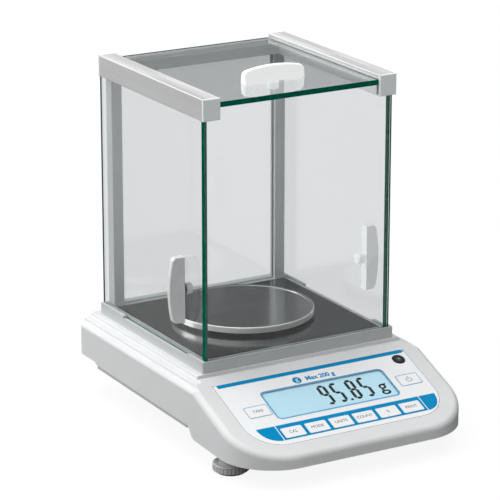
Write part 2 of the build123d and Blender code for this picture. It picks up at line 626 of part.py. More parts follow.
def dc_jack():
    socket = block((-75.0, -61.0), (136.0, CASE_REAR_Y - 0.4), (37.0, 49.0))
    socket -= Pos(-68.0, 146.0, 43.0) * Rot(90, 0, 0) * Cylinder(3.2, 14.0)
    return socket + Pos(-68.0, 142.0, 43.0) * Rot(90, 0, 0) * Cylinder(1.0, 9.0)


def serial_port():
    """Nine-pin connector: D-shaped shell, insulator, pins and two hex posts."""
    flange = block((-45.0, -15.0), (144.6, 146.0), (37.0, 49.0))
    shell = Pos(-30.0, 148.0, 43.0) * Rot(90, 0, 0) * extrude(
        RectangleRounded(17.0, 8.4, 2.4), 7.0
    )
    inner = Pos(-30.0, 149.0, 43.0) * Rot(90, 0, 0) * extrude(RectangleRounded(15.8, 7.2, 1.9), 3.4)
    body = flange + shell - inner
    for row, count in ((1.4, 5), (-1.4, 4)):
        for number in range(count):
            x = -30.0 + (number - (count - 1) / 2) * 2.77
            body += Pos(x, 146.0, 43.0 + row) * Rot(90, 0, 0) * Cylinder(0.5, 3.2)
    for x in (-42.5, -17.5):
        body += Pos(x, 146.6, 43.0) * Rot(90, 0, 0) * extrude(RegularPolygon(2.4, 6), 3.0, both=False)
    return body


def ribbon_cable():
    """Flat cable from the display board back to the main board."""
    path = [(-104.4, 34.4), (-100.0, 27.0), (-62.0, 27.0), (-50.0, 32.5), (-8.0, 32.5), (-2.0, 38.6),
            (6.0, 38.6)]
    under = [(y, z - 0.9) for y, z in reversed(path)]
    return Pos(-70.0, 0, 0) * side_slab(path + under, 8.0)


# ---------------------------------------------------------------- feet and fasteners
def foot_wheel(x, y):
    """Fluted thumbwheel with its threaded stud."""
    wheel = rod(x, y, (2.0, 8.2), FOOT_RADIUS)
    wheel = rounded(wheel, wheel.edges().filter_by(GeomType.CIRCLE), 0.8)
    out = FOOT_RADIUS + 0.45
    for number in range(FOOT_FLUTES):
        angle = 2 * math.pi * number / FOOT_FLUTES
        wheel -= rod(x + out * math.cos(angle), y + out * math.sin(angle), (1.0, 7.2), 1.15)
    collar = Pos(x, y, 9.4) * Cone(10.5, 6.0, 2.4)
    return wheel + collar + rod(x, y, (8.0, 36.0), STUD_RADIUS) - rod(x, y, (0, 4.3), 9.3)


def foot_pad(x, y):
    """Rubber pad that swivels under the thumbwheel."""
    pad = rod(x, y, (0, 2.0), 12.0) + rod(x, y, (1.0, 4.0), 9.0)
    return rounded(pad, pad.faces().sort_by(Axis.Z)[0].edges(), 0.6)


def screw(x, y, head_z, length, radius, up=1):
    """A pan-head screw; its shank goes up from the head, or down with up = -1."""
    head = rod(x, y, sorted((head_z, head_z - up * 1.5)), radius * 2)
    head -= rod(x, y, sorted((head_z - up * 1.5, head_z - up * 0.7)), radius * 0.9)
    return head + rod(x, y, sorted((head_z - up * 0.2, head_z + up * length)), radius)


def case_screws():
    return [screw(x, y, floor_z(y) + 1.6, 11.0, 1.5) for x, y in CASE_BOSSES]


def machine_screws():
    """Small screws of the platform, the cell and the main board."""
    under = SHOULDER_Z - WALL
    group = [screw(x, y, under, 9.0, 1.5) for x, y in PLATFORM_SCREWS]
    group += [screw(x, y, 33.0, 3.4, 1.5, up=-1) for x, y in CELL_SCREWS]
    group += [screw(x, y, MAIN_BOARD_Z + BOARD, 6.0, 1.2, up=-1) for x, y in MAIN_BOARD_SCREWS]
    return group


# ---------------------------------------------------------------- assembly
parts["lower_case"] = lower_case()
parts["upper_case"] = upper_case()
parts["shield_platform"] = shield_platform()
parts["chamber_floor"] = chamber_floor()
parts["front_glass"] = front_glass()
parts["rear_glass"] = rear_glass()
parts["rear_beam"] = rear_beam()
parts["top_door_glass"] = top_glass()
parts["top_door_handle"] = [Pos(0, TOP_HANDLE_Y, TOP_GLASS_Z + GLASS) * piece for piece in handle()]
for side, hand in ((-1, "left"), (1, "right")):
    turned = Pos(side * (DOOR_MID_X + GLASS / 2), SIDE_HANDLE_Y, SIDE_HANDLE_Z) * Rot(0, side * 90, 0)
    parts[f"{hand}_door_glass"] = door_glass(side)
    parts[f"{hand}_door_handle"] = [turned * piece for piece in handle()]
    parts[f"{hand}_top_rail"] = top_rail(side)
    parts[f"front_{hand}_rail_cap"] = rail_cap(side, front=True)
    parts[f"rear_{hand}_rail_cap"] = rail_cap(side, front=False)
    parts[f"rear_{hand}_post"] = rear_post(side)

parts["keypad_overlay"] = keypad_overlay()
parts["display_window"] = panel_plate(*WINDOW, WINDOW_CORNER, -WINDOW_SHEET, WINDOW_SHEET)
parts["lcd_module"] = lcd_module()
parts["display_board"] = display_board()
parts["key_switches"] = key_switches()
parts["level_housing"] = level_housing()
parts["level_lens"] = level_lens()
for name, x, s, width, height in key_places():
    parts[name] = key(x, s, width, height)

parts["weighing_pan"] = pan()
parts["pan_support"] = pan_support()
parts["load_receiver"] = load_receiver()
parts["cell_base"] = cell_base()
parts["magnet_pot"] = magnet_pot()
parts["force_lever"] = lever()
parts["force_coil"] = coil()
parts["upper_guide"] = guide(UPPER_GUIDE_Z)
parts["lower_guide"] = guide(LOWER_GUIDE_Z)
parts["position_sensor"] = position_sensor()
parts["main_board"] = main_board()
parts["ribbon_cable"] = ribbon_cable()
parts["dc_jack"] = dc_jack()
parts["serial_port"] = serial_port()
parts["case_screws"] = case_screws()
parts["machine_screws"] = machine_screws()
for place, (x, y) in FOOT_PLACES.items():
    parts[f"{place}_foot_wheel"] = foot_wheel(x, y)
    parts[f"{place}_foot_pad"] = foot_pad(x, y)

os.makedirs("parts", exist_ok=True)
for name, shape in parts.items():
    group = Compound(children=shape) if isinstance(shape, list) else shape
    export_step(group, f"parts/{name}.step")
print(len(parts), "nodes")
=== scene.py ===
"""Analytical balance: the looks that go round its CAD frame.  Metres, +Z up, keypad towards -Y."""
import json
import math

import bpy
from mathutils import Matrix, Vector


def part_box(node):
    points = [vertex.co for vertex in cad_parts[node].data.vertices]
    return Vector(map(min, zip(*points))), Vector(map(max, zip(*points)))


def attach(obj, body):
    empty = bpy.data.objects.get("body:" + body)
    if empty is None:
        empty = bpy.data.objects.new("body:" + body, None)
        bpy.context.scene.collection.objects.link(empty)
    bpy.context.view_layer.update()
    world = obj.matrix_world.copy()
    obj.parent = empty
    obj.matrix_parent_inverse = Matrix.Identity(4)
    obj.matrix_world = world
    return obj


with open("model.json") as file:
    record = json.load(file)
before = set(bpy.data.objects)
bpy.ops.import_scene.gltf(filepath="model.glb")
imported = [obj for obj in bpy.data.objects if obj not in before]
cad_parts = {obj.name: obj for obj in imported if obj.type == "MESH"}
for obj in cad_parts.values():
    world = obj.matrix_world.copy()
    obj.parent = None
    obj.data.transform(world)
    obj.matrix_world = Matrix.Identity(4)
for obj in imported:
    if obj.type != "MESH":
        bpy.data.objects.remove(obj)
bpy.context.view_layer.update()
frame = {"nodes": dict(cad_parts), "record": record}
nodes = frame["nodes"]

MM = 0.001

# ---------------------------------------------------------------- camera, lights and floor
YAW = 30.16                 # degrees the camera stands to the left of straight ahead
PITCH = 17.22               # degrees it looks down
DISTANCE = 2.3
LENS = 197.1
AIM = Vector((-0.0127, 0.0195, 0.1455))
SKY_TOWARDS = (-0.33, 0.05, 0.94)       # where the studio is brightest
SKY_DARK = (0.28, 0.08)     # cosine to that direction, and brightness, at the ramp's dark end
SKY_BRIGHT = (0.90, 1.66)   # and at its bright end
FLOOR_REACH = 6.0
FLOOR_WHITE = 0.8
FLOOR_BOUNCE = 0.10         # how white the floor is to light that bounces off it
FLOOR_GLOW = 0.86           # share of the floor's look that takes no shadow
GLOW_STRENGTH = 1.05


def add_camera():
    yaw, pitch = math.radians(YAW), math.radians(PITCH)
    back = Vector((-math.sin(yaw) * math.cos(pitch), -math.cos(yaw) * math.cos(pitch), math.sin(pitch)))
    data = bpy.data.cameras.new("camera")
    data.lens = LENS
    data.sensor_width = 36.0
    camera = bpy.data.objects.new("camera", data)
    camera.location = AIM + back * DISTANCE
    camera.rotation_euler = (math.pi / 2 - pitch, 0, -yaw)
    bpy.context.scene.collection.objects.link(camera)
    bpy.context.scene.camera = camera


def add_area_light(name, place, size, power, mirrored=True):
    """A square soft box at a place, facing the balance; mirrored says if shiny faces show it."""
    data = bpy.data.lights.new(name, "AREA")
    data.size = size
    data.energy = power
    light = bpy.data.objects.new(name, data)
    light.location = place
    light.visible_glossy = mirrored
    light.rotation_euler = (AIM - Vector(place)).to_track_quat("-Z", "Y").to_euler()
    bpy.context.scene.collection.objects.link(light)


def add_world():
    """A studio lit from above and a little from the left, dark low down all round.
    Its backdrop looks white where it is seen directly or through glass."""
    world = bpy.data.worlds.new("studio")
    world.use_nodes = True
    bpy.context.scene.world = world
    tree = world.node_tree
    place = tree.nodes.new("ShaderNodeTexCoord")
    dot = tree.nodes.new("ShaderNodeVectorMath")
    dot.operation = "DOT_PRODUCT"
    dot.inputs[1].default_value = SKY_TOWARDS
    spread = tree.nodes.new("ShaderNodeMapRange")
    spread.inputs["From Min"].default_value, spread.inputs["To Min"].default_value = SKY_DARK
    spread.inputs["From Max"].default_value, spread.inputs["To Max"].default_value = SKY_BRIGHT
    tree.links.new(place.outputs["Generated"], dot.inputs[0])
    tree.links.new(dot.outputs["Value"], spread.inputs["Value"])
    rays = tree.nodes.new("ShaderNodeLightPath")
    bounces = tree.nodes.new("ShaderNodeMath")
    direct = tree.nodes.new("ShaderNodeMath")
    direct.operation = "LESS_THAN"
    backdrop = tree.nodes.new("ShaderNodeMix")
    backdrop.data_type = "RGBA"
    backdrop.inputs[7].default_value = (1, 1, 1, 1)
    tree.links.new(rays.outputs["Glossy Depth"], bounces.inputs[0])
    tree.links.new(rays.outputs["Diffuse Depth"], bounces.inputs[1])
    tree.links.new(bounces.outputs[0], direct.inputs[0])
    tree.links.new(direct.outputs[0], backdrop.inputs[0])
    tree.links.new(spread.outputs["Result"], backdrop.inputs[6])
    tree.links.new(backdrop.outputs[2], tree.nodes["Background"].inputs["Color"])


def add_floor():
    """A white sweep: nearly all of it glows evenly, and a little of it shows the contact shadow.
    Light that bounces off it is dim, so that it doesn't fill the shaded front."""
    reach = FLOOR_REACH
    corners = [(-reach, -reach, 0), (reach, -reach, 0), (reach, reach, 0), (-reach, reach, 0)]
    white, dim = (FLOOR_WHITE,) * 3, (FLOOR_BOUNCE,) * 3
    mesh = bpy.data.meshes.new("floor")
    mesh.from_pydata(corners, [], [(0, 1, 2, 3)])
    floor = bpy.data.objects.new("floor", mesh)
    bpy.context.scene.collection.objects.link(floor)
    paint = Paint("floor", white, 0.8)
    rays = paint.node("ShaderNodeLightPath")
    paint.mix_color(rays.outputs["Is Camera Ray"], dim, white)
    glow = paint.node("ShaderNodeEmission", Strength=GLOW_STRENGTH)
    mix = paint.node("ShaderNodeMixShader")
    seen = paint.node("ShaderNodeMath")
    seen.operation = "ADD"
    seen.use_clamp = True
    paint.link(rays.outputs["Is Camera Ray"], seen.inputs[0])
    paint.link(rays.outputs["Is Transmission Ray"], seen.inputs[1])
    paint.link(paint.ranged(seen.outputs[0], 0.0, FLOOR_GLOW, 0.0, 1.0), mix.inputs[0])
    paint.link(paint.shader.outputs[0], mix.inputs[1])
    paint.link(glow.outputs[0], mix.inputs[2])
    paint.link(mix.outputs[0], paint.tree.nodes["Material Output"].inputs["Surface"])
    mesh.materials.append(paint.material)


# ---------------------------------------------------------------- materials
class Paint:
    """A Principled material, and short ways to add procedural detail to it."""

    def __init__(self, name, color, roughness, metallic=0.0, **sockets):
        self.material = bpy.data.materials.new(name)
        self.material.use_nodes = True
        self.tree = self.material.node_tree
        self.shader = self.tree.nodes["Principled BSDF"]
        self.shader.inputs["Base Color"].default_value = (*color, 1)
        self.shader.inputs["Roughness"].default_value = roughness
        self.shader.inputs["Metallic"].default_value = metallic
        for socket, value in sockets.items():
            self.shader.inputs[socket.replace("_", " ")].default_value = value

    def node(self, kind, **inputs):
        node = self.tree.nodes.new(kind)
        for socket, value in inputs.items():
            node.inputs[socket.replace("_", " ")].default_value = value
        return node

    def link(self, source, target):
        self.tree.links.new(source, target)

    def noise(self, scale, detail=3.0, stretch=(1, 1, 1)):
        """Noise over the object's own metres; scale is in features per metre."""
        place = self.node("ShaderNodeTexCoord")
        mapping = self.node("ShaderNodeMapping", Scale=stretch)
        noise = self.node("ShaderNodeTexNoise", Scale=scale, Detail=detail)
        self.link(place.outputs["Object"], mapping.inputs["Vector"])
        self.link(mapping.outputs["Vector"], noise.inputs["Vector"])
        return noise.outputs["Fac"]

    def ranged(self, factor, low, high, start=0.3, end=0.7):
        spread = self.node("ShaderNodeMapRange", From_Min=start, From_Max=end, To_Min=low, To_Max=high)
        self.link(factor, spread.inputs["Value"])
        return spread.outputs["Result"]

    def mix_color(self, factor, first, second):
        mix = self.node("ShaderNodeMix")
        mix.data_type = "RGBA"
        mix.inputs[6].default_value = (*first, 1)
        mix.inputs[7].default_value = (*second, 1)
        self.link(factor, mix.inputs[0])
        self.link(mix.outputs[2], self.shader.inputs["Base Color"])

    def vary_roughness(self, factor, low, high):
        self.link(self.ranged(factor, low, high), self.shader.inputs["Roughness"])

    def bump(self, factor, depth, strength=1.0):
        bump = self.node("ShaderNodeBump", Strength=strength, Distance=depth)
        self.link(factor, bump.inputs["Height"])
        self.link(bump.outputs["Normal"], self.shader.inputs["Normal"])


def shade(color, factor):
    return tuple(channel * factor for channel in color)


def plastic(name, color, roughness, grain=12e-6, tone=0.04, **sockets):
    """Moulded plastic: a fine spark-eroded grain, faint cloudiness and uneven gloss."""
    paint = Paint(name, color, roughness, **sockets)
    clouds = paint.noise(28.0, 4.0)
    paint.mix_color(paint.ranged(clouds, 0, 1), shade(color, 1 - tone), color)
    paint.vary_roughness(paint.noise(160.0, 5.0), roughness - 0.05, roughness + 0.07)
    paint.bump(paint.noise(2600.0, 2.0), grain)
    return paint.material


def painted(name, color):
    """Satin paint on sheet metal, with a slight orange peel."""
    paint = Paint(name, color, 0.38, Specular_IOR_Level=0.5)
    paint.mix_color(paint.ranged(paint.noise(35.0, 4.0), 0, 1), shade(color, 0.95), color)
    paint.vary_roughness(paint.noise(240.0, 3.0), 0.33, 0.45)
    paint.bump(paint.noise(900.0, 2.0), 10e-6)
    return paint.material


def brushed(name, color, roughness, along, fineness=1500.0, depth=6e-6, contrast=0.12, metallic=1.0):
    """Brushed metal: fine streaks along one axis.  Anodised metal is less metallic."""
    stretch = [1.0, 1.0, 1.0]
    stretch["XYZ".index(along)] = 0.012
    paint = Paint(name, color, roughness, metallic, Anisotropic=0.4)
    streaks = paint.noise(fineness, 3.0, stretch)
    paint.mix_color(paint.ranged(streaks, 0, 1), shade(color, 1 - contrast), color)
    paint.vary_roughness(streaks, roughness - 0.06, roughness + 0.08)
    paint.bump(streaks, depth)
    return paint.material


def polished(name, color, roughness, metallic=1.0):
    """Polished metal with hairline scuffs."""
    paint = Paint(name, color, roughness, metallic)
    scuffs = paint.noise(420.0, 6.0, (1, 0.08, 1))
    paint.mix_color(paint.ranged(scuffs, 0, 1), shade(color, 0.93), color)
    paint.vary_roughness(scuffs, roughness, roughness + 0.08)
    return paint.material


def glass(name, tint):
    """Float glass that refracts, and lets the studio's light through to what is behind it."""
    paint = Paint(name, tint, 0.0, Transmission_Weight=1.0, IOR=1.5)
    paint.vary_roughness(paint.noise(18.0, 3.0), 0.0, 0.012)
    clear = paint.node("ShaderNodeBsdfTransparent", Color=(*tint, 1))
    mix = paint.node("ShaderNodeMixShader")
    paint.link(paint.node("ShaderNodeLightPath").outputs["Is Shadow Ray"], mix.inputs[0])
    paint.link(paint.shader.outputs[0], mix.inputs[1])
    paint.link(clear.outputs[0], mix.inputs[2])
    paint.link(mix.outputs[0], paint.tree.nodes["Material Output"].inputs["Surface"])
    return paint.material


def glass_edge():
    """The ground edge of a pane, deep green from the light caught inside it; its faint glow is painted light
    standing in for that caught light.
    """
    paint = Paint("glass_edge", (0.0, 0.08, 0.05), 0.12, Specular_IOR_Level=0.0,
                  Emission_Color=(0.0, 0.10, 0.06, 1), Emission_Strength=0.28)
    chips = paint.noise(260.0, 5.0)
    paint.mix_color(paint.ranged(chips, 0, 1), (0.0, 0.03, 0.02), (0.0, 0.12, 0.075))
    paint.vary_roughness(chips, 0.08, 0.25)
    paint.bump(paint.noise(900.0, 3.0), 40e-6)
    return paint.material


def rubber(name):
    paint = Paint(name, (0.03, 0.03, 0.03), 0.75)
    paint.mix_color(paint.ranged(paint.noise(90.0, 5.0), 0, 1), (0.02, 0.02, 0.02), (0.045, 0.045, 0.045))
    paint.bump(paint.noise(1500.0, 4.0), 40e-6)
    return paint.material


def circuit_board():
    """Green solder mask with the faint relief of its tracks."""
    paint = Paint("circuit_board", (0.01, 0.12, 0.045), 0.3)
    tracks = paint.noise(420.0, 1.0, (1, 0.1, 1))
    paint.mix_color(paint.ranged(tracks, 0, 1, 0.48, 0.52), (0.006, 0.07, 0.03), (0.015, 0.15, 0.06))
    paint.bump(tracks, 30e-6)
    return paint.material


def ink(name, color, roughness=0.35, specular=0.05):
    """Screen-printed ink, a little uneven."""
    paint = Paint(name, color, roughness, Specular_IOR_Level=specular)
    paint.mix_color(paint.ranged(paint.noise(300.0, 4.0), 0, 1), shade(color, 0.93), color)
    paint.vary_roughness(paint.noise(700.0, 2.0), roughness - 0.05, roughness + 0.05)
    return paint.material


def lcd_face():
    """The display's pale blue back light, a little uneven in tone."""
    color = (0.49, 0.76, 0.88)
    paint = Paint("lcd_glass", color, 0.3, Emission_Color=(*color, 1), Emission_Strength=0.12,
                  Specular_IOR_Level=0.2)
    paint.mix_color(paint.ranged(paint.noise(14.0, 2.0), 0, 1), shade(color, 0.94), color)
    return paint.material


def window_film():
    paint = Paint("window_clear", (0.9, 0.95, 1.0), 0.06, Alpha=0.02, Specular_IOR_Level=0.1)
    paint.vary_roughness(paint.noise(120.0, 3.0), 0.04, 0.10)
    return paint.material


BLUE = (0.0, 0.28, 0.58)
HANDLE_PAINTED_GLOW = {"Emission_Color": (1, 1, 1, 1)}       # painted light: a glow that brightens the top and right grips, which are no lamp
SMOOTH = {"grain": 4e-6, "tone": 0.02}
FILM_GRAIN = {"grain": 6e-6, "tone": 0.02}
ANODISED = {"fineness": 900.0, "depth": 2e-6, "contrast": 0.05}
MATERIALS = {
    "case_white": plastic("case_white", (0.77, 0.78, 0.785), 0.40, Specular_IOR_Level=0.3),
    "case_grey": plastic("case_grey", (0.52, 0.53, 0.54), 0.5),
    "platform_grey": painted("platform_grey", (0.58, 0.605, 0.61)),
    "floor_steel": brushed("floor_steel", (0.26, 0.272, 0.282), 0.15, "X", depth=1e-6),
    "shield_glass": glass("shield_glass", (0.90, 0.91, 0.915)),
    # The top pane's darker tint is painted shade: it is the same glass as the other panes
    "top_glass": glass("top_glass", (0.80, 0.825, 0.825)),
    "glass_edge": glass_edge(),
    "rail_aluminium": brushed("rail_aluminium", (0.95, 0.955, 0.955), 0.42, "Y", metallic=0.5, **ANODISED),
    "post_aluminium": brushed("post_aluminium", (0.62, 0.64, 0.64), 0.42, "Z", metallic=0.3, **ANODISED),
    # The end caps' faint emission is painted light that brightens them; they are no lamp
    "cap_grey": plastic("cap_grey", (0.90, 0.93, 0.93), 0.4, Emission_Color=(0.9, 1, 1, 1),
                        Emission_Strength=0.10),
    "handle_white": plastic("handle_white", (0.86, 0.87, 0.87), 0.25, **SMOOTH),
    # Glowing copies of the white grip plastic for the top and right grips: their emission is painted light
    "handle_top_painted_glow": plastic("handle_top_painted_glow", (0.88, 0.89, 0.89), 0.25, Emission_Strength=0.40,
                          **SMOOTH, **HANDLE_PAINTED_GLOW),
    "handle_right": plastic("handle_right", (0.88, 0.89, 0.89), 0.25, Emission_Strength=0.30,
                            **SMOOTH, **HANDLE_PAINTED_GLOW),
    "overlay_film": plastic("overlay_film", (0.93, 0.94, 0.95), 0.36, **FILM_GRAIN),
    "window_clear": window_film(),
    "lcd_glass": lcd_face(),
    "circuit_board": circuit_board(),
    "connector_black": plastic("connector_black", (0.03, 0.03, 0.033), 0.4),
    "level_black": plastic("level_black", (0.03, 0.03, 0.033), 0.25),
    "level_lens": plastic("level_lens", (0.035, 0.04, 0.045), 0.12, grain=0.0, tone=0.3,
                          Specular_IOR_Level=0.05),
    "level_shine": plastic("level_shine", (0.30, 0.32, 0.34), 0.12, grain=0.0, tone=0.1),
    "key_film": plastic("key_film", (0.94, 0.95, 0.96), 0.34, **FILM_GRAIN),
    "pan_steel": brushed("pan_steel", (0.80, 0.815, 0.83), 0.16, "X", depth=0.6e-6, contrast=0.05),
    "pan_rim": polished("pan_rim", (0.98, 0.96, 0.92), 0.14, metallic=0.55),
    # The pan support is a real part; its black stands in for the shade under the pan, so it is partly painted
    # shade
    "support_black": plastic("support_black", (0.02, 0.02, 0.02), 0.5),
    "cell_aluminium": brushed("cell_aluminium", (0.72, 0.73, 0.74), 0.35, "Y", 1100.0, depth=8e-6),
    "flexure_bronze": brushed("flexure_bronze", (0.70, 0.45, 0.22), 0.3, "Y"),
    "magnet_iron": polished("magnet_iron", (0.45, 0.45, 0.46), 0.3),
    "coil_copper": brushed("coil_copper", (0.70, 0.30, 0.13), 0.3, "X"),
    "screw_steel": polished("screw_steel", (0.62, 0.62, 0.62), 0.28),
    "foot_grey": plastic("foot_grey", (0.60, 0.605, 0.595), 0.45),
    "pad_rubber": rubber("pad_rubber"),
}
INK_BLUE = ink("ink_blue", BLUE)
INK_DARK = ink("ink_dark", (0.03, 0.035, 0.05))
INK_GREY = ink("ink_grey", (0.20, 0.23, 0.30))
INK_WHITE = ink("ink_white", (0.86, 0.88, 0.91))
INK_BORDER = ink("ink_border", (0.14, 0.42, 0.68))
# A dark line just inside the film's edge: painted shade for the gap between film and case
FILM_EDGE_SHADE = ink("painted_edge_shade", (0.24, 0.26, 0.29))
LCD_INK = ink("lcd_ink", (0.004, 0.005, 0.008), 0.4, specular=0.0)

STEEP = math.radians(35)    # edges sharper than this stay crisp


def soften(piece):
    """Smooth shading over round faces, with crisp real edges."""
    mesh = piece.data
    mesh.polygons.foreach_set("use_smooth", [True] * len(mesh.polygons))
    mesh.set_sharp_from_angle(angle=STEEP)


def dress_nodes():
    """Gives every CAD node the material of its slot."""
    slots = {row["node"]: row["material_slot"] for row in frame["record"]["subparts"]}
    for name, node in nodes.items():
        node.data.materials.clear()
        node.data.materials.append(MATERIALS[slots[name]])
        soften(node)
    for name in ("rear_left_post", "rear_right_post"):
        nodes[name].data.materials[0] = MATERIALS["post_aluminium"]
    # The top and right grips take the glowing copies, painted light that the left grip lacks
    nodes["top_door_handle"].data.materials[0] = MATERIALS["handle_top_painted_glow"]
    nodes["right_door_handle"].data.materials[0] = MATERIALS["handle_right"]


def dress_panes():
    """Clear faces and green ground edges on every pane."""
    panes = ("front_glass", "rear_glass", "left_door_glass", "right_door_glass", "top_door_glass")
    for name in panes:
        low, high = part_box(name)
        size = high - low
        thin = min(range(3), key=lambda axis: size[axis])
        mesh = nodes[name].data
        # The top pane takes the darker-tinted copy of the glass, as painted shade
        if name == "top_door_glass":
            mesh.materials[0] = MATERIALS["top_glass"]
        mesh.materials.append(MATERIALS["glass_edge"])
        for face in mesh.polygons:
            face.material_index = 0 if abs(face.normal[thin]) > 0.9 else 1


def dress_pan():
    """A bright polished rim round the finer brushed weighing surface."""
    low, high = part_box("weighing_pan")
    middle = (low + high) / 2
    rim_start = (high.x - low.x) / 2 - 1.2 * MM
    mesh = nodes["weighing_pan"].data
    mesh.materials.append(MATERIALS["pan_rim"])
    for face in mesh.polygons:
        out = (Vector(face.center) - middle).to_2d().length
        if out > rim_start or abs(face.normal.z) < 0.9:
            face.material_index = 1


# ---------------------------------------------------------------- flat pieces on the panel
PANEL_SLOPE = math.atan(0.39)
FILM = 0.6 * MM             # thickness of the printed film
FILM_TOP_S = 14.3           # from the panel's datum line to the film's upper edge, in mm


def panel_frame():
    """Places (x, s, height) in mm on the sloping panel, worked out from the film's box."""
    low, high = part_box("keypad_overlay")
    up_slope = Vector((0, math.cos(PANEL_SLOPE), math.sin(PANEL_SLOPE)))
    normal = Vector((0, -math.sin(PANEL_SLOPE), math.cos(PANEL_SLOPE)))
    top_edge = Vector(((low.x + high.x) / 2, high.y - FILM * math.sin(PANEL_SLOPE), high.z))
    datum = top_edge + up_slope * FILM_TOP_S * MM
    basis = Matrix((Vector((1, 0, 0)), up_slope, normal)).transposed().to_4x4()

    def place(x, s, height=0.0):
        return Matrix.Translation(datum + (Vector((x, 0, 0)) - up_slope * s + normal * height) * MM) @ basis

    return place


panel = panel_frame()
INK = 0.03                  # mm that print stands above the film


def mesh_piece(name, source, place, material, body):
    """Turns a filled curve or text into a mesh piece that rides on a body."""
    bpy.context.scene.collection.objects.link(source)
    bpy.context.view_layer.update()
    mesh = bpy.data.meshes.new_from_object(source)
    bpy.data.objects.remove(source)
    mesh.transform(place @ Matrix.Diagonal((MM, MM, MM, 1)))
    mesh.materials.clear()
    mesh.materials.append(material)
    piece = bpy.data.objects.new(name, mesh)
    bpy.context.scene.collection.objects.link(piece)
    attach(piece, body)
    return piece


def flat_piece(name, outlines, place, material, body="case", thick=INK):
    """A thin filled shape, in mm; outlines inside another are holes."""
    curve = bpy.data.curves.new(name + "_outline", "CURVE")
    curve.dimensions = "2D"
    curve.fill_mode = "BOTH"
    curve.extrude = thick / 2
    for outline in outlines:
        spline = curve.splines.new("POLY")
        spline.points.add(len(outline) - 1)
        for point, (x, y) in zip(spline.points, outline):
            point.co = (x, y, thick / 2, 1)
        spline.use_cyclic_u = True
    return mesh_piece(name, bpy.data.objects.new(name, curve), place, material, body)


def lettering(name, words, size, place, material, body="case", bold=0.0):
    text = bpy.data.curves.new(name + "_text", "FONT")
    text.body = words
    text.size = size
    text.align_x = "CENTER"
    text.align_y = "CENTER"
    text.extrude = INK / 2
    text.offset = bold
    return mesh_piece(name, bpy.data.objects.new(name, text), place, material, body)


def arc(x, y, radius, start, end, steps=10):
    """Points on an arc, angles in degrees."""
    turns = [math.radians(start + (end - start) * step / steps) for step in range(steps + 1)]
    return [(x + radius * math.cos(turn), y + radius * math.sin(turn)) for turn in turns]


def rounded_box(x, y, width, height, corner):
    """Outline of a rounded rectangle round x, y."""
    right, top = x + width / 2 - corner, y + height / 2 - corner
    left, bottom = x - width / 2 + corner, y - height / 2 + corner
    return (arc(right, top, corner, 0, 90) + arc(left, top, corner, 90, 180)
            + arc(left, bottom, corner, 180, 270) + arc(right, bottom, corner, 270, 360))


def ring(x, y, width, height, corner, line):
    """Outline and hole of a line drawn round a rounded rectangle."""
    return [rounded_box(x, y, width, height, corner),
            rounded_box(x, y, width - 2 * line, height - 2 * line, max(corner - line, 0.1))]


# Places on the film, in mm: x across, s down the slope from the datum line
FILM_HALF_WIDTH = 93.3
FILM_BOTTOM_S = 98.0
FILM_CORNER = 30.0
WINDOW = (0.9, 50.25, 118.2, 35.5)
WINDOW_CORNER = 5.0
STRIPE_S = (15.2, 19.4)
STRIPE_X = (-88.7, 88.4, 92.6)          # its square end, and where its point starts and ends
TITLE_PLACE = (3.5, 27.2)
TITLE_SIZE = 6.6
DOT_PLACE = (-18.5, 27.2)
DOT_SIZE = 8.0
BAND_S = (73.8, 91.8)
BAND_LEFT_X = (-83.0, -66.5)    # of the band's round end, from its upper to its lower corner
BAND_RIGHT_X = (88.0, 72.7)
LINE_X = (-65.4, 71.6)      # the band's two white lines
LINE = 0.8
BORDER = 1.5
FILM_PRINT = 0.0
KEY_PRINT = 0.35            # the keys stand this far above the film
LCD_TOP = -1.3
LENS_TOP = 0.3
LEVEL_PLACE = (81.6, 26.4)
LEVEL_MARK = 4.4
BUBBLE = 2.2
FUNCTION_KEY_HEIGHT = 11.5
SIDE_KEY_HEIGHT = 12.0
SIDE_KEYS = ("tare_key", "power_key")
DIGIT_X = (-7.0, 4.8, 19.5, 31.3)       # left edges of the four digits
DIGIT_TOP_S = 37.2
DIGIT_SIZE = (8.3, 24.4)
DIGIT_BAR = 2.7
POINT_PLACE = (16.4, 60.5)
POINT_SIZE = 2.4
UNIT_PLACE = (50.2, 52.6)
UNIT_SIZE = 19.0
HOVER = 0.02                # mm from the cell's face up to the digits' undersides
FUNCTION_KEYS = {
    "calibrate_key": "CAL", "mode_key": "MODE", "units_key": "UNITS",
    "count_key": "COUNT", "percent_key": "%", "print_key": "PRINT",
}


def key_place(name):
    """(x, s, width, height) in mm of a key's face, from its box."""
    low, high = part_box(name)
    corner = Vector(((low.x + high.x) / 2, high.y, high.z))
    x, up, _ = (panel(0, 0).inverted() @ corner) / MM
    width = (high.x - low.x) / MM
    height = FUNCTION_KEY_HEIGHT if name in FUNCTION_KEYS else SIDE_KEY_HEIGHT
    return x, -up + height / 2, width, height


